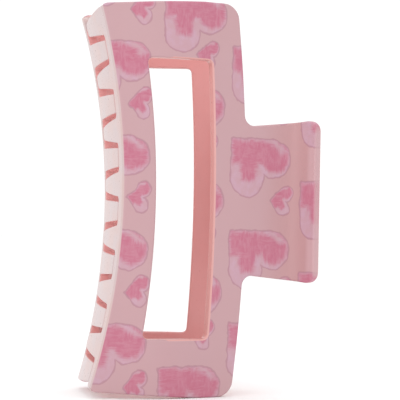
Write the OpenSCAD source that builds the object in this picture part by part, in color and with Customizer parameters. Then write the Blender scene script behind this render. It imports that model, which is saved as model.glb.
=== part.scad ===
// Rectangular claw hair clip: two moulded jaws, a hinge pin and a torsion spring.
// The clip stands on one end. +Z runs along the hinge, +X points to the thumb tabs,
// -X to the teeth, and the two printed faces look to -Y (front) and +Y (rear).

/* [Overall] */
// Length of a jaw along the hinge, at its hinge side
clip_len = 107.6; // [104:0.2:112]
// Wall thickness of the printed panel
wall = 2.6; // [2.2:0.1:3]
// Length of the flat foot at each end of a panel
foot_len = 7; // [5:1:8]
// How far each end leans back between the foot and the teeth, in degrees
end_lean = 3.1; // [0:0.1:4]

/* [Panel] */
// X of the toothed edge at mid length
edge_x = -24; // [-25:0.5:-23]
// X of the panel's hinge-side edge at mid length
hinge_edge_x = 11.3; // [10:0.1:12]
// Radius of the bow of the toothed edge
edge_bow = 185; // [170:5:400]
// How far the front jaw's bow has its middle above mid length
bow_shift = 2; // [0:0.5:3]
// Radius of the bow of the hinge-side edge
hinge_edge_bow = 420; // [300:10:900]
// Corner radius at the teeth
tooth_corner = 3.4; // [2:0.1:4]
// Corner radius at the hinge side
hinge_corner = 3.4; // [3:0.1:6]

/* [Window] */
// X of the window's toothed side at mid length
window_x0 = -15; // [-17:0.5:-14]
// X of the window's hinge side at mid length
window_x1 = 1.7; // [0:0.1:3]
// Length of the window
window_len = 75.6; // [60:0.2:80]
// Bow radius of the window's toothed side
window_bow0 = 235; // [200:5:400]
// Bow radius of the window's hinge side
window_bow1 = 540; // [300:10:900]
// Corner radius of the window
window_corner = 1.3; // [0.8:0.1:3]

/* [Thumb tab] */
// Width of the tab at its neck
tab_neck = 40.8; // [36:0.4:44]
// Width of the tab at its lip
tab_end = 45.6; // [40:0.4:48]
// Fillet between the tab and the panel
tab_fillet = 2.5; // [1:0.1:4]
// Corner radius of the lip
tab_corner = 2.4; // [1:0.1:4]

/* [Teeth] */
// Number of teeth on each jaw
tooth_count = 7; // [7:7]
// Distance from tooth to tooth
tooth_pitch = 14.5; // [14:0.1:15]
// Width of a front tooth at its root
front_root = 6.9; // [6:0.1:7.2]
// Width of a front tooth near its tip
front_tip = 3.4; // [2.6:0.1:5]
// Corner radius of a front tooth's tip
front_tip_corner = 1.6; // [0.6:0.1:1.9]
// Width of a rear tooth at its root
rear_root = 6.5; // [6:0.1:7.2]
// Width of a rear tooth near its tip
rear_tip = 5.0; // [2.6:0.1:5.4]
// Corner radius of a rear tooth's tip
rear_tip_corner = 0.8; // [0.6:0.1:1.9]
// How far a tip stops short of the other jaw's gullet
tip_gap = 0.5; // [0.4:0.1:2]
// Depth of the solid spine that the teeth grow from, measured from the panel's face
spine = 4.0; // [3:0.1:6]
// Wall thickness of the teeth
tooth_wall = 2.4; // [2:0.1:2.8]
// How far the toothed wall bulges outwards at the middle
tooth_bulge = 0.9; // [0:0.1:2]

/* [Hinge] */
// X of the hinge axis
pin_x = 20.5; // [19.5:0.1:21]
// Radius of the hinge pin
pin_r = 1.0; // [0.8:0.05:1.2]
// Radial clearance between the pin and the lug bores
pin_fit = 0.05; // [0.03:0.01:0.1]
// Outer radius of the lugs
lug_r = 2.9; // [2.4:0.1:3.2]
// Thickness of a lug along the pin
lug_w = 2.8; // [2:0.1:3]
// Distance from mid length to the first lug
lug_start = 7.2; // [7:0.1:8]
// Gap between neighbouring lugs
lug_gap = 0.6; // [0.3:0.1:1]

/* [Spring] */
// Wire diameter
wire_d = 1.2; // [1:0.05:1.4]
// Radius of the coil, to the middle of the wire
coil_r = 3.1; // [2.8:0.1:3.2]
// Turns in the coil, before the part that its two legs leave out
coil_turns = 10; // [7:1:10]
// Distance from turn to turn
coil_pitch = 1.27; // [1.25:0.01:1.3]
// Gap between a leg and the tab that it lies on
leg_gap = 0.12; // [0.1:0.01:0.2]

/* [Hidden] */

arc_n = 6;
bow_n = 14;
slack = 40;
pink = [0.86, 0.70, 0.72];
steel = [0.78, 0.78, 0.80];

// Outer surface of a jaw at mid length: [x, distance from the mid plane, slope].
face_stations = [
    [edge_x - 10, 14.4, 0.04],
    [edge_x, 15.0, 0.12],
    [-14.5, 16.0, 0.02],
    [1.7, 12.8, -0.29],
    [hinge_edge_x, 10.4, -0.25],
    [19.5, 8.3, -0.22],
    [24.0, 7.9, 0.15],
    [30.0, 13.6, 1.25]
];
face_n = 6;
edge_depth = face_stations[1][1];

half_len = clip_len / 2;
end_drop = tan(end_lean);
foot_x1 = hinge_edge_x - half_len * half_len / (2 * hinge_edge_bow) - hinge_corner + 0.6;
foot_x0 = foot_x1 - foot_len;
lip_x = 31.9;
tooth_shift = tooth_pitch / 4;
lug_pitch = lug_w + lug_gap;
tip_depth = -(edge_depth - spine - tip_gap);
rib_gap = wire_d / 2 + 0.15;
rib_w = 1.0;

function unit(v) = v / norm(v);

// Arc of radius v[2] that replaces the corner at v between its neighbours u and w.
function corner(u, v, w) =
    v[2] == 0 ? [[v[0], v[1]]] :
    let (
        p = [v[0], v[1]],
        a = unit([u[0], u[1]] - p),
        b = unit([w[0], w[1]] - p),
        half = acos(a * b) / 2,
        centre = p + unit(a + b) * v[2] / sin(half),
        from = p + a * v[2] / tan(half) - centre,
        to = p + b * v[2] / tan(half) - centre,
        start = atan2(from[1], from[0]),
        turn = atan2(from[0] * to[1] - from[1] * to[0], from * to)
    )
    [for (i = [0:arc_n]) centre + v[2] * [cos(start + turn * i / arc_n), sin(start + turn * i / arc_n)]];

// Closed outline from corner points [x, y, radius].
function rounded(points) =
    let (n = len(points))
    [for (i = [0:n - 1]) each corner(points[(i + n - 1) % n], points[i], points[(i + 1) % n])];

// X of an edge that bows towards +X at mid length.
function bowed(x, radius, z) = x - (radius - sqrt(radius * radius - z * z));

// X of the toothed edge at z, moved with x.
function edge_at(x, z) = bowed(x, edge_bow, z - bow_shift);

// Inner points of a bowed edge, from z0 to z1 without its ends.
function bow_points(x, radius, z0, z1) =
    [for (i = [1:bow_n - 1]) let (z = z0 + (z1 - z0) * i / bow_n) [bowed(x, radius, z), z, 0]];

// Height of a jaw's end at x: flat over the foot, then leaning towards the teeth.
function end_z(x) = half_len - max(0, foot_x0 - x) * end_drop;

// Cubic through two stations, at parameter t.
function station_point(a, b, t) =
    let (w = b[0] - a[0])
    [
        a[0] + w * t,
        (2 * t * t * t - 3 * t * t + 1) * a[1] + (t * t * t - 2 * t * t + t) * w * a[2]
            + (3 * t * t - 2 * t * t * t) * b[1] + (t * t * t - t * t) * w * b[2],
        ((6 * t * t - 6 * t) * (a[1] - b[1])) / w
            + (3 * t * t - 4 * t + 1) * a[2] + (3 * t * t - 2 * t) * b[2]
    ];

// All points [x, depth, slope] along the outer surface.
face_points = concat(
    [for (s = [0:len(face_stations) - 2], i = [0:face_n - 1])
        station_point(face_stations[s], face_stations[s + 1], i / face_n)],
    [face_stations[len(face_stations) - 1]]
);

// A point of the face moved inwards by t, as [x, y] of the front jaw.
function inset(p, t) =
    let (n = unit([p[2], -1]))
    [p[0] + n[0] * t, -(p[1] + n[1] * t)];

// Middle line of the front leg along the tab's inner face, about the pin.
leg_points =
    let (first = len(face_points) - face_n)
    [for (i = [first:first + 3]) inset(face_points[i], wall + wire_d / 2 + leg_gap) - [pin_x, 0]];
leg_start = atan2(leg_points[0][1], leg_points[0][0]) - acos(coil_r / norm(leg_points[0]));
leg_take_off = 0.6;
coil_sweep = 360 * coil_turns + 2 * leg_start;
coil_len = coil_sweep / 360 * coil_pitch;

// Outline of the jaw seen along Y, with an extra margin on the toothed side.
jaw_outline =
    let (
        margin = tooth_bulge + 0.3,
        low = end_z(bowed(edge_x, edge_bow, half_len + bow_shift)),
        high = end_z(bowed(edge_x, edge_bow, half_len - bow_shift)),
        neck = tab_neck / 2,
        lip = tab_end / 2
    )
    rounded(concat(
        [[edge_at(edge_x - margin, -low), -low, tooth_corner]],
        [[foot_x0, -half_len, 0]],
        [[bowed(hinge_edge_x, hinge_edge_bow, half_len), -half_len, hinge_corner]],
        [[bowed(hinge_edge_x, hinge_edge_bow, neck), -neck, tab_fillet]],
        [[lip_x, -lip, tab_corner]],
        [[lip_x, lip, tab_corner]],
        [[bowed(hinge_edge_x, hinge_edge_bow, neck), neck, tab_fillet]],
        [[bowed(hinge_edge_x, hinge_edge_bow, half_len), half_len, hinge_corner]],
        [[foot_x0, half_len, 0]],
        [[edge_at(edge_x - margin, high), high, tooth_corner]],
        [for (i = [1:bow_n - 1])
            let (z = high - (high + low) * i / bow_n) [edge_at(edge_x - margin, z), z, 0]]
    ));

window_outline =
    let (h = window_len / 2)
    rounded(concat(
        [[bowed(window_x0, window_bow0, h), -h, window_corner]],
        [[bowed(window_x1, window_bow1, h), -h, window_corner]],
        bow_points(window_x1, window_bow1, -h, h),
        [[bowed(window_x1, window_bow1, h), h, window_corner]],
        [[bowed(window_x0, window_bow0, h), h, window_corner]],
        bow_points(window_x0, window_bow0, h, -h)
    ));

// Middle of tooth i of the front jaw.
function tooth_z(i) = (i - (tooth_count - 1) / 2) * tooth_pitch + tooth_shift;

// Height at which a tooth's upper side meets the spine. The last tooth runs out into the jaw's end.
function root_top(i, root) = i == tooth_count - 1 ? half_len : tooth_z(i) + root / 2;

// Spine and teeth seen along X. A tooth has widths root and tip, and its tip has a corner radius.
function comb_outline(root, tip, tip_corner) =
    let (
        root_y = -(edge_depth - spine),
        tip_y = -tip_depth
    )
    rounded(concat(
        [[root_y, -half_len, 0], [-edge_depth, -half_len, 0], [-edge_depth, half_len, 0]],
        [for (i = [tooth_count - 1:-1:0]) each [
            [root_y, root_top(i, root), i == tooth_count - 1 ? 0 : 1.2],
            [tip_y, tooth_z(i) + tip / 2, tip_corner],
            [tip_y, tooth_z(i) - tip / 2, tip_corner],
            [root_y, tooth_z(i) - root / 2, 1.2]
        ]]
    ));

// Part of the jaw's wall between two insets, over a range of the face points.
module face_band(first, last, t0, t1, height) {
    part = [for (i = [first:last]) face_points[i]];
    n = len(part);
    linear_extrude(height = height, center = true)
        polygon(concat([for (p = part) inset(p, t0)], [for (i = [n - 1:-1:0]) inset(part[i], t1)]));
}

// Prism along Y over an outline in X and Z.
module prism_y(outline) {
    rotate([90, 0, 0])
        linear_extrude(height = 2 * slack, center = true)
            polygon(outline);
}

// Printed panel and thumb tab, before the ends are shaped.
module panel() {
    difference() {
        face_band(0, len(face_points) - 1, 0, wall, clip_len + 2);
        translate([edge_x - edge_bow, 0, bow_shift])
            rotate([90, 0, 0])
                cylinder(r = edge_bow + tooth_wall / 2, h = 2 * slack, center = true, $fn = 360);
    }
}

// Toothed wall that bends away from the panel at its bowed edge.
module comb(root, tip, tip_corner) {
    sweep_angle = 40;
    depths = [for (i = [0:12]) edge_depth - 0.05 - i * (2 * edge_depth - 0.05) / 12];
    profile = concat(
        [for (d = depths) [edge_bow - tooth_bulge * (1 - pow(d / edge_depth, 2)), d]],
        [for (i = [len(depths) - 1:-1:0])
            [edge_bow + tooth_wall - tooth_bulge * (1 - pow(depths[i] / edge_depth, 2)), depths[i]]]
    );
    intersection() {
        translate([edge_x - edge_bow, 0, bow_shift])
            rotate([90, 0, 0])
                rotate([0, 0, -sweep_angle / 2])
                    rotate_extrude(angle = sweep_angle, $fn = 360)
                        polygon(profile);
        translate([edge_x - slack, 0, 0])
            rotate([90, 0, 90])
                linear_extrude(height = 2 * slack)
                    polygon(comb_outline(root, tip, tip_corner));
    }
}

// Hinge lug from the panel's inner face to the pin, with its lower face at z.
module lug(z) {
    translate([pin_x, 0, z]) {
        cylinder(r = lug_r, h = lug_w, $fn = 48);
        translate([-lug_r, -6.8, 0])
            cube([2 * lug_r, 6.8, lug_w]);
    }
}

// Two low ribs that keep the spring leg from sliding along the lip.
module leg_ribs() {
    first = len(face_points) - face_n;
    for (side = [-1, 1])
        translate([0, 0, -coil_len / 2 + side * (rib_gap + rib_w / 2)])
            face_band(first, first + 4, wall - 0.4, wall + 1.0, rib_w);
}

// One jaw about the middle of its length, with its printed face to -Y.
module jaw(root, tip, tip_corner) {
    difference() {
        union() {
            intersection() {
                union() {
                    panel();
                    comb(root, tip, tip_corner);
                }
                prism_y(jaw_outline);
            }
            lug(lug_start);
            lug(-lug_start - lug_pitch - lug_w);
            leg_ribs();
        }
        translate([0, -slack, 0])
            prism_y(window_outline);
        translate([pin_x, 0, 0])
            cylinder(r = pin_r + pin_fit, h = clip_len, center = true, $fn = 48);
    }
}

module front_jaw() {
    color(pink)
        translate([0, 0, half_len])
            jaw(front_root, front_tip, front_tip_corner);
}

module rear_jaw() {
    color(pink)
        translate([0, 0, half_len])
            rotate([180, 0, 0])
                jaw(rear_root, rear_tip, rear_tip_corner);
}

// Pin through the four lugs, with a formed head at each end.
module hinge_pin() {
    stack = lug_start + lug_pitch + lug_w + 0.15;
    color(steel)
        translate([pin_x, 0, half_len]) {
            cylinder(r = pin_r, h = 2 * stack + 1, center = true, $fn = 48);
            translate([0, 0, stack])
                cylinder(r1 = 1.8, r2 = 1.4, h = 0.8, $fn = 48);
            translate([0, 0, -stack - 0.6])
                cylinder(r = 1.5, h = 0.6, $fn = 48);
        }
}

// Middle line of the spring wire: front leg, coil, rear leg.
spring_path =
    let (
        steps = coil_turns * 16,
        leg_low = [for (p = leg_points) [p[0], p[1], -coil_len / 2]],
        leg_high = [for (p = leg_points) [p[0], -p[1], coil_len / 2]],
        coil = [for (i = [0:steps])
            let (a = leg_start - coil_sweep * i / steps)
            [coil_r * cos(a), coil_r * sin(a), coil_len * (i / steps - 0.5)]],
        away = [cos(leg_start + 90), sin(leg_start + 90), 0]
    )
    concat(
        [for (i = [len(leg_low) - 1:-1:0]) leg_low[i]],
        [coil[0] + away * leg_take_off],
        coil,
        [coil[steps] + [away[0], -away[1], 0] * leg_take_off],
        leg_high
    );

// Round wire swept along a path that never runs parallel to Z.
module wire(path, d, sides) {
    n = len(path);
    rings = [for (i = [0:n - 1])
        let (
            t = unit(path[min(i + 1, n - 1)] - path[max(i - 1, 0)]),
            u = unit(cross(t, [0, 0, 1])),
            v = cross(u, t)
        )
        each [for (k = [0:sides - 1])
            path[i] + d / 2 * (cos(360 * k / sides) * u + sin(360 * k / sides) * v)]];
    polyhedron(
        points = rings,
        faces = concat(
            [[for (k = [0:sides - 1]) k]],
            [for (i = [0:n - 2], k = [0:sides - 1]) let (m = (k + 1) % sides)
                [i * sides + k, (i + 1) * sides + k, (i + 1) * sides + m, i * sides + m]],
            [[for (k = [sides - 1:-1:0]) (n - 1) * sides + k]]
        )
    );
}

module torsion_spring() {
    color(steel)
        translate([pin_x, 0, half_len])
            wire(spring_path, wire_d, 8);
}

front_jaw();
rear_jaw();
hinge_pin();
torsion_spring();
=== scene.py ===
import math

import bpy
import numpy as np
from mathutils import Matrix, Vector
from mathutils.geometry import delaunay_2d_cdt


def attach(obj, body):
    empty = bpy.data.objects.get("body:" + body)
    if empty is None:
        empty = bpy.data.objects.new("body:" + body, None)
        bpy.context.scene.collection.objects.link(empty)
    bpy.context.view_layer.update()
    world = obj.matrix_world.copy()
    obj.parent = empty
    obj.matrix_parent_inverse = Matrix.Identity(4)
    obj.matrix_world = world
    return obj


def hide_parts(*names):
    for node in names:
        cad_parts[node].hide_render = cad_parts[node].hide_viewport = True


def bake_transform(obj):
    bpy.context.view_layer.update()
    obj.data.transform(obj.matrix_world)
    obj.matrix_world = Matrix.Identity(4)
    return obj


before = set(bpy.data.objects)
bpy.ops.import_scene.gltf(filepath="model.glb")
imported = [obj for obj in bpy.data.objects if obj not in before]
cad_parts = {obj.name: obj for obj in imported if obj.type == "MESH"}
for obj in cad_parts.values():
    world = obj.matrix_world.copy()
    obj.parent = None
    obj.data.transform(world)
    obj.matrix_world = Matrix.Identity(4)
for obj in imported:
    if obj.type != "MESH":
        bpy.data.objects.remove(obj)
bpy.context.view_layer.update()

MM = 0.001

# ---------------------------------------------------------------- sizes, in mm
CLIP_LEN = 107.6
MID_Z = CLIP_LEN / 2
WALL = 2.6
FOOT_LEN = 7.0
FOOT_MARGIN = 0.6
END_LEAN = math.radians(3.1)

# The toothed edge, where the panel turns into the toothed wall, and the hinge-side edge
EDGE_X = -24.0
EDGE_DEPTH = 15.0
EDGE_BOW = 185.0
BOW_SHIFT = 2.0
HINGE_EDGE_X = 11.3
HINGE_EDGE_BOW = 420.0
HINGE_CORNER = 3.4
TOOTH_CORNER = 3.4
CORNER_MARGIN = 1.2

WINDOW_X0 = -15.0
WINDOW_X1 = 1.7
WINDOW_LEN = 75.6
WINDOW_BOW0 = 235.0
WINDOW_BOW1 = 540.0
WINDOW_CORNER = 1.3

TAB_NECK = 40.8
TAB_END = 45.6
TAB_FILLET = 2.5
TAB_CORNER = 2.6
LIP_X = 30.0

# A tooth is its width at the root, its width at the tip and the corner radius of the tip
TOOTH_COUNT = 7
TOOTH_PITCH = 14.5
TIP_GAP = 0.35
SPINE = 4.0
TOOTH_BULGE = 0.9
GULLET_RADIUS = 1.2
LOWER_ROOT_RADIUS = 1.6
END_INSET = 0.3
FRONT_TOOTH = (6.9, 3.5, 1.7)
REAR_TOOTH = (6.5, 5.1, 0.6)
FRONT_TIP_SHIFT = -0.6
REAR_TIP_SHIFT = -2.0

PIN_X = 20.5
PIN_R = 1.0
PIN_FIT = 0.05
HEAD_GAP = 0.15
LUG_R = 2.9
LUG_W = 2.8
LUG_START = 7.2
LUG_PITCH = 3.4

WIRE_D = 1.2
COIL_R = 3.1
COIL_TURNS = 10
COIL_PITCH = 1.27
LEG_GAP = 0.12
RIB_W = 1.0
RIB_H = 1.0
RIB_GAP = 0.15
RIB_SUNK = 0.4
RIB_CORNER = 0.35

# Rim radii as tables of s and radius, for the outer face (1) and the inner face (-1)
JAW_ROUNDS = {1: ([-4.0, -2.0], [0.35, 0.6]), -1: ([-4.0, -2.0], [0.3, 0.5])}
LUG_ROUNDS = {1: ([0.0], [0.3]), -1: ([0.0], [0.3])}
RIB_ROUNDS = {1: ([0.0], [0.2]), -1: ([0.0], [0.2])}

# Outer surface of a jaw: X, depth from the mid plane, slope
STATIONS = [
    (EDGE_X - 10, 14.4, 0.04),
    (EDGE_X, EDGE_DEPTH, 0.12),
    (-14.5, 16.0, 0.02),
    (1.7, 12.8, -0.29),
    (HINGE_EDGE_X, 10.4, -0.25),
    (19.5, 8.3, -0.22),
    (24.0, 7.9, 0.15),
    (LIP_X, 13.6, 1.25),
]


# ---------------------------------------------------------------- face profile
def face_table(samples=400):
    """X, depth, slope and length along the face, counted from X = 0. It runs 1 mm past the lip."""
    xs, depths, slopes = [], [], []
    for (x0, d0, s0), (x1, d1, s1) in zip(STATIONS, STATIONS[1:]):
        w = x1 - x0
        t = np.linspace(0, 1, samples, endpoint=(x1 == LIP_X))
        xs.append(x0 + w * t)
        depths.append(
            (2 * t**3 - 3 * t**2 + 1) * d0 + (t**3 - 2 * t**2 + t) * w * s0
            + (3 * t**2 - 2 * t**3) * d1 + (t**3 - t**2) * w * s1
        )
        slopes.append(
            (6 * t**2 - 6 * t) * (d0 - d1) / w
            + (3 * t**2 - 4 * t + 1) * s0 + (3 * t**2 - 2 * t) * s1
        )
    _, lip_depth, lip_slope = STATIONS[-1]
    xs.append([LIP_X + 1])
    depths.append([lip_depth + lip_slope])
    slopes.append([lip_slope])
    xs, depths, slopes = (np.concatenate(v) for v in (xs, depths, slopes))
    steps = np.hypot(np.diff(xs), np.diff(depths))
    along = np.concatenate([[0], np.cumsum(steps)])
    return xs, depths, slopes, along - np.interp(0, xs, along)


FACE_X, FACE_DEPTH, FACE_SLOPE, FACE_U = face_table()


def u_of(x):
    return np.interp(x, FACE_X, FACE_U)


def unit(v):
    return v / np.linalg.norm(v, axis=-1, keepdims=True)


def under_face(x, depth):
    """Points at the given depths under the outer face, as (x, y) of the front jaw about the pin."""
    face = np.stack([x - PIN_X, -np.interp(x, FACE_X, FACE_DEPTH)], -1)
    inward = unit(np.stack([np.interp(x, FACE_X, FACE_SLOPE), np.ones_like(x)], -1))
    return face + inward * depth


def bowed(x, radius, z):
    """X of an edge that bows towards +X at mid length."""
    return x - (radius - np.sqrt(radius**2 - np.asarray(z, float) ** 2))


def toothed_edge(z):
    """X of the toothed edge at z from mid length."""
    return bowed(EDGE_X, EDGE_BOW, np.asarray(z, float) - BOW_SHIFT)


FOOT_X1 = HINGE_EDGE_X - MID_Z**2 / (2 * HINGE_EDGE_BOW) - HINGE_CORNER + FOOT_MARGIN
FOOT_X0 = FOOT_X1 - FOOT_LEN


def end_z(x):
    """Height of a jaw's end at x: flat over the foot, then leaning towards the teeth."""
    return MID_Z - max(0.0, FOOT_X0 - x) * math.tan(END_LEAN)


# ---------------------------------------------------------------- outlines
# Half the angle of a corner that is as good as straight, and the distance of two points that are one
NEARLY_STRAIGHT = math.radians(89)
SAME_POINT = 1e-4


def arc_corner(before, corner, after, radius, spacing):
    """Points of the arc that replaces a corner between its neighbours."""
    p = np.array(corner, float)
    a = unit(np.array(before, float) - p)
    b = unit(np.array(after, float) - p)
    half = math.acos(max(-1, min(1, float(a @ b)))) / 2
    if radius == 0 or half > NEARLY_STRAIGHT:
        return [p]
    centre = p + unit(a + b) * radius / math.sin(half)
    start = p + a * radius / math.tan(half) - centre
    stop = p + b * radius / math.tan(half) - centre
    angle = math.atan2(start[1], start[0])
    turn = math.atan2(start[0] * stop[1] - start[1] * stop[0], float(start @ stop))
    n = max(4, math.ceil(abs(turn) * radius / spacing))
    return [
        centre + radius * np.array([math.cos(angle + turn * i / n), math.sin(angle + turn * i / n)])
        for i in range(n + 1)
    ]


def rounded(points, spacing):
    """Closed outline from corner points (a, b, radius)."""
    out = []
    for i, (a, b, radius) in enumerate(points):
        before = points[i - 1][:2]
        after = points[(i + 1) % len(points)][:2]
        out.extend(arc_corner(before, (a, b), after, radius, spacing))
    return out


def spaced(points, spacing):
    """A closed outline with no side longer than about spacing and no doubled point."""
    out = []
    for i, p in enumerate(points):
        q = np.array(points[(i + 1) % len(points)], float)
        p = np.array(p, float)
        length = np.linalg.norm(q - p)
        if length < SAME_POINT:
            continue
        n = max(1, math.ceil(length / spacing - 0.2))
        out.extend(p + (q - p) * k / n for k in range(n))
    return np.array(out)


def bow_rows(x, radius, z0, z1, count=16):
    """Corner points of a bowed edge from z0 to z1, without its ends."""
    return [(float(bowed(x, radius, z)), z, 0) for z in np.linspace(z0, z1, count + 2)[1:-1]]


def tooth_z(i):
    return (i - (TOOTH_COUNT - 1) / 2) * TOOTH_PITCH + TOOTH_PITCH / 4


def crease_arc(z_end, sign):
    """The corner where a jaw's end meets the crease, as points (x, z)."""
    x = float(toothed_edge(z_end))
    centre_x = x - CORNER_MARGIN + TOOTH_CORNER
    centre_z = abs(z_end) - TOOTH_CORNER
    first = math.acos((x - centre_x) / TOOTH_CORNER)
    return [
        (centre_x + TOOTH_CORNER * math.cos(a), sign * (centre_z + TOOTH_CORNER * math.sin(a)), 0)
        for a in np.linspace(first, math.pi / 2, 5)
    ]


def hinge_side(z):
    return float(bowed(HINGE_EDGE_X, HINGE_EDGE_BOW, z))


def panel_corners(low, high):
    """Corner points (x, z, radius) of the panel and its tab, from the lower crease to the upper one."""
    neck = TAB_NECK / 2
    lip = TAB_END / 2
    hinge_corner_x = hinge_side(MID_Z)
    neck_x = hinge_side(neck)
    past_corner = 5
    past_neck = 3
    past_lip = TAB_CORNER + 1
    corners = crease_arc(low, -1)
    corners += [(FOOT_X0, -MID_Z, 0), (hinge_corner_x, -MID_Z, HINGE_CORNER)]
    corners += bow_rows(HINGE_EDGE_X, HINGE_EDGE_BOW, past_corner - MID_Z, -neck - past_neck, 8)
    corners += [(neck_x, -neck, TAB_FILLET), (LIP_X, -lip, TAB_CORNER)]
    corners += [(LIP_X, z, 0) for z in np.linspace(past_lip - lip, lip - past_lip, 12)]
    corners += [(LIP_X, lip, TAB_CORNER), (neck_x, neck, TAB_FILLET)]
    corners += bow_rows(HINGE_EDGE_X, HINGE_EDGE_BOW, neck + past_neck, MID_Z - past_corner, 8)
    corners += [(hinge_corner_x, MID_Z, HINGE_CORNER), (FOOT_X0, MID_Z, 0)]
    corners += crease_arc(high, 1)[::-1]
    return corners


def comb_corners(tooth, low, high):
    """Corner points (s, z, radius) of the spine and the teeth, from the upper crease to the lower one."""
    root, tip, tip_corner = tooth
    corner_drop = TOOTH_CORNER - math.sqrt(TOOTH_CORNER**2 - (TOOTH_CORNER - CORNER_MARGIN) ** 2)
    root_s = -SPINE
    tip_s = -(2 * EDGE_DEPTH - SPINE - TIP_GAP)
    corners = []
    for i in range(TOOTH_COUNT - 1, -1, -1):
        z = tooth_z(i)
        upper_root = (root_s, z + root / 2, GULLET_RADIUS)
        if i == TOOTH_COUNT - 1:
            upper_root = (root_s, high - corner_drop - END_INSET, 0)
        corners += [
            upper_root,
            (tip_s, z + tip / 2, tip_corner),
            (tip_s, z - tip / 2, tip_corner),
            (root_s, z - root / 2, GULLET_RADIUS),
        ]
    return corners + [(root_s, low + corner_drop + END_INSET, LOWER_ROOT_RADIUS)]


def window_corners():
    """Corner points (x, z, radius) of the window."""
    h = WINDOW_LEN / 2
    x0 = float(bowed(WINDOW_X0, WINDOW_BOW0, h))
    x1 = float(bowed(WINDOW_X1, WINDOW_BOW1, h))
    left = [(x0, -h, WINDOW_CORNER), *bow_rows(WINDOW_X0, WINDOW_BOW0, -h, h), (x0, h, WINDOW_CORNER)]
    right = [(x1, h, WINDOW_CORNER), *bow_rows(WINDOW_X1, WINDOW_BOW1, h, -h), (x1, -h, WINDOW_CORNER)]
    return left + right


def from_crease(x, z):
    """Distance along the face from the crease to x."""
    return u_of(x) - u_of(toothed_edge(z))


def jaw_loops(tooth, spacing=0.8):
    """Outline and window in the sheet's own plane: s from the crease, z from mid length."""
    low = -end_z(toothed_edge(-MID_Z))
    high = end_z(toothed_edge(MID_Z))
    panel = [(float(from_crease(x, z)), z, radius) for x, z, radius in panel_corners(low, high)]
    outline = rounded(panel + comb_corners(tooth, low, high), spacing)
    window = np.array(rounded(window_corners(), spacing))
    window[:, 0] = from_crease(window[:, 0], window[:, 1])
    return [spaced(outline, spacing), spaced(window, spacing)]


# ---------------------------------------------------------------- sheet to space
# Half length of the bend at the crease, on the outer and the inner face, and the reach of its squeeze
CREASE = 1.0
INNER_CREASE = 0.8
SQUEEZE = 6.0


def panel_point(s, z, t):
    """Point of the panel at s from the crease and depth t, with its tangent away from the crease."""
    u = s + u_of(toothed_edge(z))
    x = np.interp(u, FACE_U, FACE_X)
    depth = np.interp(x, FACE_X, FACE_DEPTH)
    slope = np.interp(x, FACE_X, FACE_SLOPE)
    tangent = unit(np.stack([np.ones_like(x), -slope], -1))
    inward = np.stack([-tangent[:, 1], tangent[:, 0]], -1)
    return np.stack([x, -depth], -1) + inward * t[:, None], tangent


def wall_point(s, z, t, tip_shift):
    """Point of the toothed wall at s from the crease and depth t, with its tangent away from it.

    The wall's bow has its middle at BOW_SHIFT by the crease and at tip_shift by the other jaw.
    """
    y = s - EDGE_DEPTH
    shift = BOW_SHIFT + (tip_shift - BOW_SHIFT) * s / (2 * EDGE_DEPTH)
    x = bowed(EDGE_X, EDGE_BOW, np.asarray(z, float) - shift) - TOOTH_BULGE * (1 - (y / EDGE_DEPTH) ** 2)
    lean = 2 * TOOTH_BULGE * y / EDGE_DEPTH**2
    tangent = unit(np.stack([lean, np.ones_like(y)], -1))
    inward = np.stack([tangent[:, 1], -tangent[:, 0]], -1)
    return np.stack([x, y], -1) + inward * t[:, None], tangent


def jaw_place(s, z, t, tip_shift):
    """Sheet point (s, z) at depth t of the front jaw, in mm. The crease is a quadratic curve."""
    s, z, t = (np.asarray(v, float) for v in (s, z, t))
    reach = np.abs(s)
    crease = CREASE + (INNER_CREASE - CREASE) * (t / WALL)
    squeezed = np.where(reach < SQUEEZE, t + reach * (1 - t / SQUEEZE), reach)
    at_crease = t + crease * (1 - t / SQUEEZE)
    flat = np.zeros((len(s), 2))
    on_panel, _ = panel_point(squeezed, z, t)
    on_wall, _ = wall_point(squeezed, z, t, tip_shift)
    flat[s >= crease] = on_panel[s >= crease]
    flat[s <= -crease] = on_wall[s <= -crease]
    near = reach < crease
    if near.any():
        p1, d1 = panel_point(at_crease[near], z[near], t[near])
        p0, d0 = wall_point(at_crease[near], z[near], t[near], tip_shift)
        cross = d0[:, 0] * d1[:, 1] - d0[:, 1] * d1[:, 0]
        gap = p1 - p0
        along = (gap[:, 0] * d1[:, 1] - gap[:, 1] * d1[:, 0]) / cross
        corner = p0 + d0 * along[:, None]
        k = ((s[near] + crease[near]) / (2 * crease[near]))[:, None]
        flat[near] = (1 - k) ** 2 * p0 + 2 * k * (1 - k) * corner + k**2 * p1
    return np.stack([flat[:, 0], flat[:, 1], z], -1)


# ---------------------------------------------------------------- mesh objects
def mesh_object(name, places, faces):
    """Smooth-shaded mesh object from places in mm."""
    mesh = bpy.data.meshes.new(name)
    mesh.from_pydata((np.array(places) * MM).tolist(), [], faces)
    mesh.polygons.foreach_set("use_smooth", np.ones(len(mesh.polygons), bool))
    mesh.update()
    made = bpy.data.objects.new(name, mesh)
    bpy.context.scene.collection.objects.link(made)
    return made


def add_values(made, name, values):
    """Adds a number per point, or a vector per point where values has rows, for the materials to read."""
    values = np.array(values, np.float32)
    kind, field = "FLOAT", "value"
    if values.ndim == 2:
        kind, field = "FLOAT_VECTOR", "vector"
    made.data.attributes.new(name, kind, "POINT").data.foreach_set(field, values.ravel())


# ---------------------------------------------------------------- plates
# A group of triangles is kept if the largest one has over half this area. The grid stays clear of the
# rims by this distance
SLIVER_AREA = 0.02
GRID_CLEARANCE = 0.5

# Half step for slopes, and how far an uncoated plate's sheet positions are moved from the printed area
PROBE = 0.02
BARE_SHIFT = np.array([40.0, 0.0])


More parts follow.
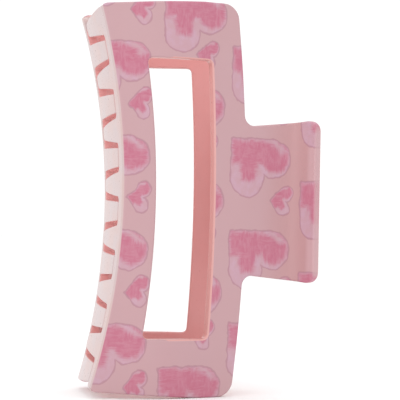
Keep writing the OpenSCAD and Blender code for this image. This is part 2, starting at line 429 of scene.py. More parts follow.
def inside(points, loops):
    """Which points lie inside the region bounded by the loops."""
    x, y = points[:, 0][:, None], points[:, 1][:, None]
    odd = np.zeros(len(points), bool)
    for loop in loops:
        a, b = loop, np.roll(loop, -1, 0)
        spans = (a[None, :, 1] > y) != (b[None, :, 1] > y)
        with np.errstate(divide="ignore", invalid="ignore"):
            cut = a[None, :, 0] + (y - a[None, :, 1]) * (b - a)[None, :, 0] / (b - a)[None, :, 1]
        odd ^= (np.sum(spans & (x < cut), 1) % 2).astype(bool)
    return odd


def sides_of(face):
    return [frozenset(pair) for pair in zip(face, face[1:] + face[:1])]


def face_groups(faces, walls):
    """Groups of faces that no wall edge parts."""
    beside = {}
    for i, face in enumerate(faces):
        for edge in sides_of(face):
            beside.setdefault(edge, []).append(i)
    seen = [False] * len(faces)
    groups = []
    for i in range(len(faces)):
        if seen[i]:
            continue
        seen[i] = True
        members = [i]
        for k in members:
            for edge in sides_of(faces[k]):
                for m in beside[edge]:
                    if edge not in walls and not seen[m]:
                        seen[m] = True
                        members.append(m)
        groups.append(members)
    return groups


def filled(points, links, loops):
    """Triangles over the region inside the loops. Linked points are its rims."""
    made = delaunay_2d_cdt([Vector(p) for p in points], links, [], 0, 1e-6, True)
    places, faces, origin = np.array([tuple(v) for v in made[0]]), made[2], made[3]
    walls = {frozenset(edge) for edge, olds in zip(made[1], made[4]) if olds}
    kept = []
    for members in face_groups(faces, walls):
        corners = places[[faces[k] for k in members]]
        ab, ac = corners[:, 1] - corners[:, 0], corners[:, 2] - corners[:, 0]
        area = np.abs(ab[:, 0] * ac[:, 1] - ab[:, 1] * ac[:, 0])
        largest = corners[np.argmax(area)].mean(0)
        if area.max() > SLIVER_AREA and inside(largest[None], loops)[0]:
            kept += members
    return [[origin[v][0] for v in faces[k]] for k in kept]


def mitre_normals(loop):
    """Normals into the material, which lies to the left of the loop."""
    ahead = np.roll(loop, -1, 0) - loop
    normal = unit(np.stack([-ahead[:, 1], ahead[:, 0]], -1))
    before = np.roll(normal, 1, 0)
    total = normal + before
    return total / (1 + np.sum(normal * before, 1))[:, None]


def frame_at(place, points, t):
    """Tangents along s and z, and the outward normal, of a placed sheet at depth t."""
    s, z = points[:, 0], points[:, 1]
    ds = place(s + PROBE, z, t) - place(s - PROBE, z, t)
    dz = place(s, z + PROBE, t) - place(s, z - PROBE, t)
    return ds / (2 * PROBE), dz / (2 * PROBE), unit(np.cross(ds, dz))


def inner_grid(bounds, columns, row_step):
    """Grid points inside the bounds and clear of them."""
    edge = np.concatenate(bounds)
    low, high = edge.min(0), edge.max(0)
    columns = columns[(columns > low[0]) & (columns < high[0])]
    rows = np.arange(low[1] + row_step / 2, high[1], row_step)
    grid = np.stack(np.meshgrid(columns, rows), -1).reshape(-1, 2)
    grid = grid[inside(grid, bounds)]
    apart = np.array([np.linalg.norm(edge - point, axis=1).min() for point in grid])
    return grid[apart > GRID_CLEARANCE]


class Shells:
    """Collects the closed plates of one moulding. A plate covers a region of a sheet.

    place(s, z, t) gives the points of the sheet at depth t. Every point keeps its sheet position and its
    cover: 1 on a coated outer face, falling over the rim to -1 on the face behind it, and 0 with no coat.
    """

    def __init__(self):
        self.places = []
        self.normals = []
        self.sheet = []
        self.cover = []
        self.faces = []
        self.count = 0

    def add(self, places, normals, sheet, cover):
        first = self.count
        self.places.append(places)
        self.normals.append(normals)
        self.sheet.append(sheet)
        self.cover.append(cover)
        self.count += len(places)
        return first

    def ring(self, loop, place, thickness, rounds, angle, side, coat, wraps):
        """One ring of points round a rim, at an angle of its outer (1) or inner (-1) rounding."""
        inward = mitre_normals(loop)
        size = np.interp(loop[:, 0], *rounds[side])
        p = loop + inward * (size * (1 - math.sin(angle)))[:, None]
        t = (0 if side > 0 else thickness) + side * size * (1 - math.cos(angle))
        ds, dz, out = frame_at(place, p, t)
        away = -(ds * inward[:, :1] + dz * inward[:, 1:])
        away = unit(away - out * np.sum(away * out, 1)[:, None])
        normal = out * side * math.cos(angle) + away * math.sin(angle)
        coated_round = (p[:, 0] > 0) & (wraps and side > 0)
        cover = coat * np.where(coated_round, 1, side * math.cos(angle))
        sheet = p if coat else p - BARE_SHIFT
        return self.add(place(p[:, 0], p[:, 1], t), normal, sheet, cover), p

    def face(self, rings, place, t, side, columns, row_step, coat):
        """The outer (1) or inner (-1) face, between the end rings of the rims."""
        bounds = [p for _, p in rings]
        ids, links = [], []
        for start, p in rings:
            base = len(ids)
            ids.extend(range(start, start + len(p)))
            links.extend((base + i, base + (i + 1) % len(p)) for i in range(len(p)))
        grid = inner_grid(bounds, columns, row_step)
        if len(grid):
            level = np.full(len(grid), t)
            _, _, out = frame_at(place, grid, level)
            sheet = grid if coat else grid - BARE_SHIFT
            cover = np.full(len(grid), coat * side)
            start = self.add(place(grid[:, 0], grid[:, 1], level), out * side, sheet, cover)
            ids.extend(range(start, start + len(grid)))
        for corners in filled(np.concatenate([*bounds, grid]), links, bounds):
            a, b, c = (ids[v] for v in corners)
            self.faces.append((a, b, c) if side > 0 else (a, c, b))

    def plate(self, loops, place, thickness, rounds, columns, row_step, coat=0.0, steps=3):
        """A plate with rounded rims over the region inside the loops.

        The coat covers the outer rounding of the first loop's rim where s is positive.
        """
        angles = [math.pi / 2 * k / steps for k in range(steps + 1)]
        turns = [(angle, 1) for angle in angles] + [(angle, -1) for angle in angles[::-1]]
        rims = []
        for loop in loops:
            wraps = loop is loops[0]
            rings = [self.ring(loop, place, thickness, rounds, *turn, coat, wraps) for turn in turns]
            n = len(loop)
            for (a, _), (b, _) in zip(rings, rings[1:]):
                self.faces.extend((a + i, b + i, b + (i + 1) % n, a + (i + 1) % n) for i in range(n))
            rims.append(rings)
        self.face([rings[0] for rings in rims], place, 0.0, 1, columns, row_step, coat)
        self.face([rings[-1] for rings in rims], place, thickness, -1, columns, row_step, coat)

    def object(self, name, turn, print_shift):
        """One mesh object, with its axes multiplied by turn and its print moved along by print_shift."""
        places = np.concatenate(self.places) * turn
        normals = np.concatenate(self.normals) * turn
        made = mesh_object(name, places + np.array([0, 0, MID_Z]), self.faces)
        sheet = np.concatenate(self.sheet)
        u = sheet[:, 0] + u_of(toothed_edge(sheet[:, 1]))
        add_values(made, "print_mm", np.stack([u, sheet[:, 1] + print_shift, sheet[:, 0]], 1))
        add_values(made, "coat", np.concatenate(self.cover))
        made.data.normals_split_custom_set_from_vertices(unit(normals).tolist())
        return made


# ---------------------------------------------------------------- spring line
def leg_line():
    """Middle line of the front leg along the tab's inner face, about the pin."""
    return under_face(np.linspace(24.9, 27.1, 7), WALL + WIRE_D / 2 + LEG_GAP)


def spring_line(per_turn=36):
    """Middle line of the wire from leg to leg, about the pin's middle, and the length of its coil."""
    leg = leg_line()
    start = math.atan2(leg[0][1], leg[0][0]) - math.acos(COIL_R / np.linalg.norm(leg[0]))
    sweep = 2 * math.pi * COIL_TURNS + 2 * start
    coil_len = sweep / (2 * math.pi) * COIL_PITCH
    n = round(sweep / (2 * math.pi) * per_turn)
    share = np.arange(n + 1) / n
    turns = start - sweep * share
    coil = np.stack([COIL_R * np.cos(turns), COIL_R * np.sin(turns), coil_len * (share - 0.5)], -1)
    away = np.array([-math.sin(start), math.cos(start), 0]) * WIRE_D / 2
    low = np.column_stack([leg, np.full(len(leg), -coil_len / 2)])
    high = np.column_stack([leg[:, 0], -leg[:, 1], np.full(len(leg), coil_len / 2)])
    into_coil = coil[0] + away
    out_of_coil = coil[-1] + away * [1, -1, 1]
    return np.concatenate([low[::-1], [into_coil], coil, [out_of_coil], high]), coil_len


spring_path, coil_len = spring_line()


# ---------------------------------------------------------------- jaws
JAW_ROW_STEP = 1.4

# Signs of the axes after a half turn about X, and how far the rear jaw's print is moved along it
HALF_TURN = np.array([1.0, -1.0, -1.0])
REAR_PRINT_SHIFT = 11.0


def jaw_columns():
    """Columns of the jaw's grid, closer together round the crease."""
    wall = np.arange(-26.0, -1.6, 1.25)
    crease = np.linspace(-CREASE, CREASE, 9)
    panel = np.arange(1.7, 62.0, 1.05)
    return np.concatenate([wall, crease, panel])


def lug_outline():
    """A lug seen along the pin, flared where it meets the panel."""
    arc = [
        (LUG_R * math.cos(a), LUG_R * math.sin(a), 0)
        for a in np.linspace(math.radians(-12), math.radians(192), 22)
    ]
    foot = [(-LUG_R, -3.6, 2.2), (-5.6, -7.3, 0.8), (5.4, -6.6, 0.8), (LUG_R, -3.4, 2.2)]
    return spaced(rounded(arc + foot, 0.4), 0.5)


def lug_hole(sides=28):
    """The lug's bore, which runs clockwise."""
    turns = [-2 * math.pi * i / sides for i in range(sides)]
    return (PIN_R + PIN_FIT) * np.array([(math.cos(a), math.sin(a)) for a in turns])


def rib_outline():
    """A rib beside the spring leg, seen along the pin: low, and following the lip's inner face."""
    x = np.linspace(25.0, 29.0, 9)
    foot = [(*p, 0) for p in under_face(x, WALL - RIB_SUNK)]
    crest = [(*p, 0) for p in under_face(x, WALL + RIB_H)]
    for end in (0, -1):
        crest[end] = (*crest[end][:2], RIB_CORNER)
    return spaced(rounded(foot + crest[::-1], 0.2), 0.4)


def across_pin(top):
    """Placer for a plate that lies across the pin, with its upper face at height top."""
    def place(s, w, t):
        return np.stack([PIN_X + s, w, top - t], -1)
    return place


def make_jaw(name, tooth, tip_shift, turn, print_shift):
    """One jaw: its bent sheet, its two lugs and the two ribs beside its spring leg."""
    def on_jaw(s, z, t):
        return jaw_place(s, z, t, tip_shift)

    shells = Shells()
    shells.plate(jaw_loops(tooth), on_jaw, WALL, JAW_ROUNDS, jaw_columns(), JAW_ROW_STEP, coat=1.0)
    lug_loops = [lug_outline(), lug_hole()]
    for foot in (LUG_START, -LUG_START - LUG_PITCH - LUG_W):
        place = across_pin(foot + LUG_W)
        shells.plate(lug_loops, place, LUG_W, LUG_ROUNDS, np.arange(-6, 6, 1.0), 1.0, steps=2)
    from_leg = WIRE_D / 2 + RIB_GAP + RIB_W / 2
    for side in (-1, 1):
        place = across_pin(-coil_len / 2 + side * from_leg + RIB_W / 2)
        shells.plate([rib_outline()], place, RIB_W, RIB_ROUNDS, np.arange(0, 10, 1.0), 1.0, steps=2)
    return shells.object(name, turn, print_shift)


front_jaw = make_jaw("front_jaw_shell", FRONT_TOOTH, FRONT_TIP_SHIFT, 1.0, 0.0)
rear_jaw = make_jaw("rear_jaw_shell", REAR_TOOTH, REAR_TIP_SHIFT, HALF_TURN, REAR_PRINT_SHIFT)


# ---------------------------------------------------------------- spring and pin
def tube_faces(rings, sides):
    """Quads between rings of points, and a cap on each end."""
    faces = []
    for i in range(rings - 1):
        for k in range(sides):
            m = (k + 1) % sides
            faces.append((i * sides + k, i * sides + m, (i + 1) * sides + m, (i + 1) * sides + k))
    faces.append(tuple(range(sides - 1, -1, -1)))
    faces.append(tuple((rings - 1) * sides + k for k in range(sides)))
    return faces


def swept(name, path, radius, sides=14):
    """Round wire along a path in mm about the pin's middle, with domed ends."""
    path = np.array(path, float)
    tangent = unit(np.gradient(path, axis=0))
    side = unit(np.cross(tangent, [0.0, 0.0, 1.0]))
    up = np.cross(side, tangent)
    length = np.concatenate([[0], np.cumsum(np.linalg.norm(np.diff(path, axis=0), axis=1))])
    angles = np.linspace(0, 2 * math.pi, sides, endpoint=False)
    dome = [math.radians(v) for v in (75, 50, 25)]
    dome_reach = 0.6
    rings = [(0, -math.sin(a), math.cos(a)) for a in dome]
    rings += [(i, 0.0, 1.0) for i in range(len(path))]
    rings += [(len(path) - 1, math.sin(a), math.cos(a)) for a in dome[::-1]]
    places, spots = [], []
    for i, push, size in rings:
        centre = path[i] + tangent[i] * push * radius * dome_reach
        for a in angles:
            places.append(centre + radius * size * (math.cos(a) * side[i] + math.sin(a) * up[i]))
            spots.append((length[i] + push * radius, a * radius, 0.0))
    # The rings run the other way round here, so each face is turned over about its first corner
    faces = [face[:1] + face[:0:-1] for face in tube_faces(len(rings), sides)]
    made = mesh_object(name, np.array(places) + np.array([PIN_X, 0, MID_Z]), faces)
    add_values(made, "wire_mm", spots)
    return made


def lathed(name, profile, sides=56, mark_radius=2.0):
    """Turned piece on the hinge axis from (radius, z) points in mm about the pin's middle."""
    angles = np.linspace(0, 2 * math.pi, sides, endpoint=False)
    places, spots = [], []
    for r, z in profile:
        for a in angles:
            places.append((PIN_X + r * math.cos(a), r * math.sin(a), MID_Z + z))
            spots.append((a * mark_radius, z, r))
    made = mesh_object(name, places, tube_faces(len(profile), sides))
    add_values(made, "wire_mm", spots)
    return made


def pin_profile():
    """The pin from its domed foot to its formed head, as (radius, z) from its middle."""
    stack = LUG_START + LUG_PITCH + LUG_W + HEAD_GAP
    turns = np.linspace(0.12, math.pi / 2, 6)
    dome = [(1.5 * math.sin(a), -stack - 0.1 - 0.5 * math.cos(a)) for a in turns]
    shaft = [(1.5, -stack - 0.03), (1.46, -stack), (PIN_R, -stack), (PIN_R, stack)]
    head = [(1.74, stack), (1.8, stack + 0.06), (1.76, stack + 0.3), (1.58, stack + 0.62)]
    crown = [(1.38, stack + 0.78), (0.7, stack + 0.8), (0.25, stack + 0.74)]
    return dome + shaft + head + crown


spring = swept("spring_wire", spring_path, WIRE_D / 2)
pin = lathed("hinge_pin_turned", pin_profile())


# ---------------------------------------------------------------- node helpers
def srgb(r, g, b):
    """Linear colour from 0-255 values."""
    linear = [((v / 255 + 0.055) / 1.055) ** 2.4 if v > 10 else v / 255 / 12.92 for v in (r, g, b)]
    return (*linear, 1.0)


class Nodes:
    """Short calls for building a node tree. Arguments are sockets or plain values."""

    def __init__(self, tree):
        self.tree = tree

    def add(self, kind, inputs=None, **settings):
        node = self.tree.nodes.new(kind)
        for key, value in settings.items():
            setattr(node, key, value)
        for key, value in (inputs or {}).items():
            self.put(node.inputs[key], value)
        return node

    def put(self, socket, value):
        if isinstance(value, bpy.types.NodeSocket):
            self.tree.links.new(value, socket)
        elif value is not None:
            socket.default_value = value

    def math(self, operation, a, b=None, c=None):
        return self.add("ShaderNodeMath", {0: a, 1: b, 2: c}, operation=operation).outputs[0]

    def plus(self, a, b):
        return self.math("ADD", a, b)

    def minus(self, a, b):
        return self.math("SUBTRACT", a, b)

    def times(self, a, b):
        return self.math("MULTIPLY", a, b)

    def least(self, values):
        total = values[0]
        for value in values[1:]:
            total = self.math("MINIMUM", total, value)
        return total

    def outside_band(self, value, middle, half):
        """How far value is outside the band of the given half width, negative inside it."""
        return self.minus(self.math("ABSOLUTE", self.minus(value, middle)), half)

    def vector(self, operation, a, b=None, **more):
        return self.add("ShaderNodeVectorMath", {0: a, 1: b, **more}, operation=operation).outputs[0]

    def distance(self, a, b):
        return self.vector("DISTANCE", a, b).node.outputs["Value"]

    def split(self, v):
        return self.add("ShaderNodeSeparateXYZ", {0: v}).outputs

    def join(self, x=0.0, y=0.0, z=0.0):
        return self.add("ShaderNodeCombineXYZ", {0: x, 1: y, 2: z}).outputs[0]

    def ramp(self, value, low, high):
        """0 at low to 1 at high, smoothly."""
        inputs = {"Value": value, "From Min": low, "From Max": high}
        return self.add("ShaderNodeMapRange", inputs, interpolation_type="SMOOTHSTEP").outputs[0]

    def mix(self, factor, a, b):
        node = self.add("ShaderNodeMix", data_type="RGBA")
        self.put(node.inputs[0], factor)
        self.put(node.inputs[6], a)
        self.put(node.inputs[7], b)
        return node.outputs[2]

    def noise(self, at, scale, detail=2.0, roughness=0.5, colour=False, distortion=0.0):
        inputs = {
            "Vector": at,
            "Scale": scale,
            "Detail": detail,
            "Roughness": roughness,
            "Distortion": distortion,
        }
        return self.add("ShaderNodeTexNoise", inputs).outputs["Color" if colour else "Fac"]

    def attribute(self, name, vector=False):
        node = self.add("ShaderNodeAttribute", attribute_name=name)
        return node.outputs["Vector" if vector else "Fac"]

    def bump(self, height, strength, distance):
        inputs = {"Height": height, "Strength": strength, "Distance": distance}
        return self.add("ShaderNodeBump", inputs).outputs[0]


def new_material(name):
    material = bpy.data.materials.new(name)
    material.use_nodes = True
    tree = material.node_tree
    return material, Nodes(tree), tree.nodes["Principled BSDF"]


# ---------------------------------------------------------------- printed hearts
PERIOD = 25.25
HEART_H = 16.0

# u and z of a heart's point in mm, and a small heart's turn in degrees
BIG_HEARTS = [(-35.8, 42.0), (-13.9, 55.8), (6.7, 17.1), (28.2, 5.7)]
SMALL_HEARTS = [(-23.4, 25.2, 0.0), (-4.5, 39.4, -8.0), (19.2, 0.2, -4.0)]

# Size of a small heart along and across its axis, as a share of a big one
SMALL_ALONG = 0.36
SMALL_ACROSS = 0.425


def heart_group():
    """Node group: distances in mm to a heart's outline and to its brushed area.

    The heart's point is at the origin. Its sides run along +X and -Y.
    """
    tree = bpy.data.node_groups.new("heart", "ShaderNodeTree")
    tree.interface.new_socket("Place", in_out="INPUT", socket_type="NodeSocketVector")
    tree.interface.new_socket("Outline", in_out="OUTPUT", socket_type="NodeSocketFloat")
    tree.interface.new_socket("Brush", in_out="OUTPUT", socket_type="NodeSocketFloat")
    n = Nodes(tree)
    place = n.add("NodeGroupInput").outputs[0]
    x, y, _ = n.split(place)

    def disc(centre_x, centre_y, radius):
        return n.minus(n.distance(place, (centre_x, centre_y, 0.0)), radius)

    def block(x0, x1, y0, y1):
        across = n.outside_band(x, (x0 + x1) / 2, (x1 - x0) / 2)
        along = n.outside_band(y, (y0 + y1) / 2, (y1 - y0) / 2)
        return n.math("SMOOTH_MAX", across, along, 1.2)

    outline = n.least([
        block(0, 13.6, -9.4, 0),
        block(0, 10.2, -12.0, 0),
        disc(13.2, -5.5, 5.3),
        disc(5.1, -10.9, 5.15),
    ])
    tongue_half = n.math("MULTIPLY_ADD", y, 0.22, 4.5)
    tongue = n.math("SMOOTH_MAX", n.outside_band(x, 5.6, tongue_half), n.outside_band(y, -7.4, 4.2), 0.8)
    brushed = n.least([block(0.2, 12.8, -7.0, -0.4), disc(13.9, -5.0, 4.3), tongue])

    # An unbrushed streak along an arc, in the lobe on the +X side
    from_arc = n.math("ABSOLUTE", n.minus(n.distance(place, (9.6, -8.6, 0.0)), 8.6))
    streak = n.least([
        n.minus(0.7, from_arc),
        n.times(n.minus(x, 10.4), 0.6),
        n.times(n.plus(y, 3.3), 0.8),
    ])
    brush = n.math("MAXIMUM", brushed, streak)
    n.add("NodeGroupOutput", {"Outline": outline, "Brush": brush})
    return tree


def heart_field(n, spot):
    """Smallest outline and brush distances over all hearts, in mm, at print position spot."""
    tree = heart_group()
    u, z, _ = n.split(spot)
    outlines, brushes = [], []

    def repeat(z0, middle):
        """Distance along z from the nearest repeat of z0, within half a period of middle."""
        return n.math("WRAP", n.minus(z, z0), middle + PERIOD / 2, middle - PERIOD / 2)

    def add_heart(x, y, size):
        group = n.add("ShaderNodeGroup", node_tree=tree)
        n.put(group.inputs[0], n.join(x, y))
        outlines.append(n.times(group.outputs[0], size))
        brushes.append(group.outputs[1])

    for u0, z0 in BIG_HEARTS:
        add_heart(n.minus(u, u0), repeat(z0, -HEART_H / 2), 1.0)
    eighth_turn = math.sqrt(0.5)
    for u0, z0, turn in SMALL_HEARTS:
        dx = n.minus(u, u0)
        dy = repeat(z0, 0.0)
        c, s = math.cos(math.radians(turn)), math.sin(math.radians(turn))
        along = n.plus(n.times(dx, c / SMALL_ALONG), n.times(dy, s / SMALL_ALONG))
        across = n.minus(n.times(dy, c / SMALL_ACROSS), n.times(dx, s / SMALL_ACROSS))
        x = n.times(n.plus(along, across), eighth_turn)
        y = n.times(n.minus(across, along), eighth_turn)
        add_heart(x, y, SMALL_ACROSS)
    return n.least(outlines), n.least(brushes)


# ---------------------------------------------------------------- materials
PLASTIC = srgb(214, 162, 158)
PLASTIC_DEEP = srgb(211, 157, 153)
# A lighter copy of the plastic for its inner parts: painted glow of light shining through the thin plastic
# and bouncing between the jaws
PAINTED_GLOW = srgb(232, 175, 173)
PAINTED_GLOW_DEEP = srgb(228, 167, 165)
# Coat on the toothed wall's outer face, made paler and greyer than the printed film as a painted sheen of
# the white surroundings seen at a grazing angle
WALL_FILM_SHEEN = srgb(198, 172, 169)
WALL_FILM_SHEEN_COOL = srgb(195, 175, 175)
# Darker, redder film over the tab: painted shade where the tab turns away from the key light
FILM_TAB_SHADE = srgb(187, 142, 144)
# Lighter film at the lip: painted highlight where the lip turns towards the key light
FILM_LIP_HIGHLIGHT = srgb(196, 156, 160)
FILM = srgb(189, 152, 157)
FILM_WARM = srgb(189, 149, 153)
HEART_LILAC = srgb(190, 149, 159)
HEART_PALE = srgb(192, 153, 168)
HEART_ROSE = srgb(189, 120, 138)
HEART_DEEP = srgb(184, 102, 125)
HEART_LINE = srgb(160, 108, 124)
WIRE_STEEL = srgb(206, 207, 210)
PIN_STEEL = srgb(196, 197, 200)
STAINED_STEEL = srgb(176, 178, 182)

# Noise scales of a brush stroke, over its width and along it, per mm
STROKE_FINE = 1.7
STROKE_COARSE = 0.3

# Where a change begins and ends, in mm: along the face from X = 0 (u), and from the crease (s)
# The painted shade on the tab fades in over this span of u
TAB_SHADE_U = (15.0, 27.0)
# The painted lip highlight fades in over the next span, and grows over the lip's end over the one after it
LIP_HIGHLIGHT_U = (29.8, 31.4)
LIP_END_HIGHLIGHT_U = (32.5, 33.2)
LIP_RIM_U = (31.0, 31.4)
WINDOW_SIDE_U = (-11.0, -13.0)
PANEL_S = (0.05, 0.45)
WALL_END_S = (-0.3, -0.8)
BARE_WALL_S = (-0.5, -2.0)
WALL_END_HEIGHT = (MID_Z - 7.0, MID_Z - 5.0)


def brush_strokes(n, mark, u, z):
    """Noise drawn out along z in some patches and along u in the others."""
    along_z = n.join(n.times(u, STROKE_FINE), n.times(z, STROKE_COARSE))
    along_u = n.join(n.times(u, STROKE_COARSE), n.times(z, STROKE_FINE))
    strokes_up = n.noise(along_z, 1.0, distortion=0.8)
    strokes_over = n.noise(along_u, 1.0, distortion=1.0)
    pick = n.ramp(n.noise(mark, 0.22, 1.0), 0.42, 0.58)
    return n.plus(n.times(strokes_up, pick), n.times(strokes_over, n.minus(1.0, pick)))


def print_colour(n, mark, u, strokes):
    """Colour of the printed coat, with painted shade on the tab and a painted highlight on the lip, and 1
    where it is inside a heart.
    """
    wobble = n.noise(mark, 0.3, 2.0, 0.4, colour=True)
    wobble = n.vector("SCALE", n.vector("SUBTRACT", wobble, (0.5, 0.5, 0.5)), Scale=1.3)
    outline, brush = heart_field(n, n.vector("ADD", mark, wobble))

    film = n.mix(n.noise(mark, 0.1), FILM, FILM_WARM)
    # Painted shade: the film darkens towards the tab
    film = n.mix(n.ramp(u, *TAB_SHADE_U), film, FILM_TAB_SHADE)
    # Painted highlight: the film lightens over the lip
    film = n.mix(n.ramp(u, *LIP_HIGHLIGHT_U), film, FILM_LIP_HIGHLIGHT)

    lilac = n.mix(n.ramp(n.noise(mark, 0.45, 3.0), 0.35, 0.7), HEART_LILAC, HEART_PALE)
    mottle = n.plus(n.times(strokes, 0.55), n.times(n.noise(mark, 0.5), 0.45))
    rose = n.mix(n.ramp(mottle, 0.36, 0.66), HEART_DEEP, HEART_ROSE)
    ragged = n.plus(brush, n.times(n.minus(strokes, 0.5), 1.6))
    brushed = n.times(n.ramp(ragged, 0.9, -1.1), 0.95)
    in_heart = n.ramp(outline, 0.08, -0.12)
    art = n.mix(in_heart, film, n.mix(brushed, lilac, rose))

    line_width = n.times(n.noise(mark, 0.6, 1.0), 0.34)
    line = n.ramp(n.minus(n.math("ABSOLUTE", outline), line_width), 0.16, -0.06)
    art = n.mix(n.times(line, 0.5), art, HEART_LINE)
    # More painted highlight over the lip's end, laid over the hearts
    lip_end_highlight = n.times(n.ramp(u, *LIP_END_HIGHLIGHT_U), 0.75)
    return n.mix(lip_end_highlight, art, FILM_LIP_HIGHLIGHT), in_heart


def coated_area(n, cover, u, s, height):
    """1 where the coat lies: the outer face, and the rims of the lip's end and of the toothed wall's ends.

    From the window to the teeth it runs further round the rims than elsewhere.
    """
    from_middle = n.math("ABSOLUTE", n.minus(height, MID_Z))
    wall_end = n.times(n.ramp(from_middle, *WALL_END_HEIGHT), n.ramp(s, *WALL_END_S))
    reach = n.plus(cover, n.ramp(u, *LIP_RIM_U))
    reach = n.plus(reach, wall_end)
    reach = n.plus(reach, n.times(n.ramp(u, *WINDOW_SIDE_U), 0.5))
    return n.ramp(reach, 0.9, 0.99)


def jaw_material():
    """Salmon plastic under a coat, which is printed on the panel and plain on the toothed wall."""
    material, n, shader = new_material("pink_printed_plastic")
    mark = n.attribute("print_mm", vector=True)
    cover = n.attribute("coat")
    mm = n.vector("SCALE", n.add("ShaderNodeTexCoord").outputs["Object"], Scale=1000.0)
    u, z, s = n.split(mark)
    _, _, height = n.split(mm)
    on_panel = n.ramp(s, *PANEL_S)
    blotch = n.noise(mm, 0.12)
    strokes = brush_strokes(n, mark, u, z)
    art, in_heart = print_colour(n, mark, u, strokes)
    coated = coated_area(n, cover, u, s, height)

    # Inner faces, the toothed wall's bare rims, lugs and ribs get the lighter copy of the plastic as
    # painted glow; other rims keep the plain plastic
    painted_glow_area = n.math("MAXIMUM", n.ramp(cover, -0.3, -0.7), n.ramp(s, *BARE_WALL_S))
    rim = n.mix(blotch, PLASTIC, PLASTIC_DEEP)
    uncoated_and_glow = n.mix(painted_glow_area, rim, n.mix(blotch, PAINTED_GLOW, PAINTED_GLOW_DEEP))
    # The wall's coat colour carries painted sheen on top of the coat itself
    wall_film_sheen = n.mix(n.ramp(blotch, 0.35, 0.65), WALL_FILM_SHEEN, WALL_FILM_SHEEN_COOL)
    coat = n.mix(on_panel, wall_film_sheen, art)
    n.put(shader.inputs["Base Color"], n.mix(coated, uncoated_and_glow, coat))

    printed = n.times(coated, on_panel)
    fine = n.noise(mm, 1.4, 3.0, 0.6)
    printed_rough = n.math("MULTIPLY_ADD", printed, 0.1, 0.24)
    n.put(shader.inputs["Roughness"], n.plus(n.times(fine, 0.1), printed_rough))
    shader.inputs["IOR"].default_value = 1.5

    grain = n.times(fine, n.times(on_panel, 0.35))
    waves = n.times(n.noise(mm, 0.35, 1.0), on_panel)
    paint = n.times(n.times(strokes, printed), n.times(in_heart, 0.4))
    relief = n.plus(n.plus(grain, waves), paint)
    n.put(shader.inputs["Normal"], n.bump(relief, 0.1, 0.0001))
    return material


def steel_material(name, tint, roughness):
    """Steel with faint stains and fine scratches, which run along the wire or round the pin."""
    material, n, shader = new_material(name)
    spot = n.attribute("wire_mm", vector=True)
    x, y, _ = n.split(spot)
    drawn = n.noise(n.join(n.times(x, 0.15), n.times(y, 7.0)), 1.0, 3.0, 0.6)
    stain = n.noise(spot, 0.35, 3.0, 0.55)
    n.put(shader.inputs["Base Color"], n.mix(n.ramp(stain, 0.3, 0.75), tint, STAINED_STEEL))
    shader.inputs["Metallic"].default_value = 1.0
    n.put(shader.inputs["Roughness"], n.plus(n.times(drawn, 0.2), roughness))
    n.put(shader.inputs["Normal"], n.bump(drawn, 0.3, 0.00004))
    return material


plastic = jaw_material()
front_jaw.data.materials.append(plastic)
rear_jaw.data.materials.append(plastic)
spring.data.materials.append(steel_material("spring_steel_wire", WIRE_STEEL, 0.2))
pin.data.materials.append(steel_material("pin_steel_turned", PIN_STEEL, 0.26))

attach(front_jaw, "front")
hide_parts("front_jaw")
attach(rear_jaw, "rear")
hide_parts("rear_jaw")
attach(pin, "front")
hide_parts("hinge_pin")
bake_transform(spring)
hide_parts("torsion_spring")


# ---------------------------------------------------------------- studio
VIEW_AZIMUTH = math.radians(-12.76)
VIEW_ELEVATION = math.radians(-0.80)
VIEW_ROLL = math.radians(1.14)
VIEW_DISTANCE = 440.0
VIEW_TARGET = (0.62, 0.0, MID_Z + 0.02)
LENS = 141.4

FLOOR_RINGS = [200.0, 800.0, 2000.0, 4000.0]
FLOOR_SIDES = 48
FLOOR_WHITE = (0.93, 0.93, 0.93, 1.0)
FLOOR_BRIGHT = (0.95, 0.95, 0.95, 1.0)

SKY_STRENGTH = 1.08
KEY_POWER = 0.5
OVERHEAD_POWER = 0.8


def aim(obj, place, target, roll=0.0):
    """Puts obj at place, looking along its -Z at target, rolled about its own axis."""
    back = (Vector(place) - Vector(target)).normalized()
    right = Vector((0, 0, 1)).cross(back).normalized()
    up = back.cross(right)
    across = math.cos(roll) * right + math.sin(roll) * up
    rise = back.cross(across)
    matrix = Matrix((across, rise, back)).transposed().to_4x4()
    matrix.translation = Vector(place) * MM
    obj.matrix_world = matrix


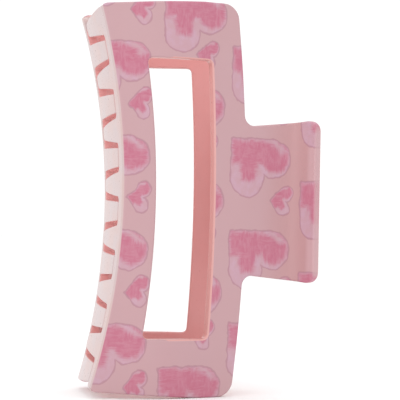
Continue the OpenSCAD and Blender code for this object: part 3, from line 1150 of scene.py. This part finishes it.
def add_camera():
    a, e = VIEW_AZIMUTH, VIEW_ELEVATION
    back = Vector((math.sin(a) * math.cos(e), -math.cos(a) * math.cos(e), math.sin(e)))
    camera = bpy.data.objects.new("camera", bpy.data.cameras.new("camera"))
    bpy.context.scene.collection.objects.link(camera)
    aim(camera, Vector(VIEW_TARGET) + back * VIEW_DISTANCE, VIEW_TARGET, VIEW_ROLL)
    camera.data.lens = LENS
    camera.data.clip_start = 0.01
    bpy.context.scene.camera = camera


def add_light(name, place, size, power):
    """Soft rectangular light, with its place and size in mm, aimed at the clip's middle."""
    light = bpy.data.lights.new(name, "AREA")
    light.shape = "RECTANGLE"
    light.size, light.size_y = size[0] * MM, size[1] * MM
    light.energy = power
    obj = bpy.data.objects.new(name, light)
    bpy.context.scene.collection.objects.link(obj)
    aim(obj, place, (0, 0, MID_Z))


def add_floor():
    """Flat pale disc at the foot of the clip."""
    turns = [2 * math.pi * k / FLOOR_SIDES for k in range(FLOOR_SIDES)]
    after = [(k + 1) % FLOOR_SIDES for k in range(FLOOR_SIDES)]
    places = [(0, 0, 0)]
    for r in FLOOR_RINGS:
        places += [(r * math.cos(turn), r * math.sin(turn), 0) for turn in turns]
    faces = [(0, 1 + k, 1 + m) for k, m in enumerate(after)]
    for i in range(len(FLOOR_RINGS) - 1):
        a = 1 + i * FLOOR_SIDES
        b = a + FLOOR_SIDES
        faces += [(a + k, b + k, b + m, a + m) for k, m in enumerate(after)]
    floor = mesh_object("floor", places, faces)
    material, n, shader = new_material("floor_white")
    where = n.add("ShaderNodeTexCoord").outputs["Object"]
    n.put(shader.inputs["Base Color"], n.mix(n.noise(where, 30.0), FLOOR_WHITE, FLOOR_BRIGHT))
    shader.inputs["Roughness"].default_value = 0.9
    shader.inputs["Specular IOR Level"].default_value = 0.1
    floor.data.materials.append(material)


def add_world():
    """Even white light from all round."""
    world = bpy.data.worlds.new("studio")
    bpy.context.scene.world = world
    world.use_nodes = True
    background = world.node_tree.nodes["Background"]
    background.inputs["Color"].default_value = (1, 1, 1, 1)
    background.inputs["Strength"].default_value = SKY_STRENGTH


add_camera()
add_world()
add_floor()
add_light("key_left", (-420, -330, 260), (320, 420), KEY_POWER)
add_light("overhead", (0, 60, 620), (700, 700), OVERHEAD_POWER)
bpy.context.scene.view_settings.view_transform = "Standard"
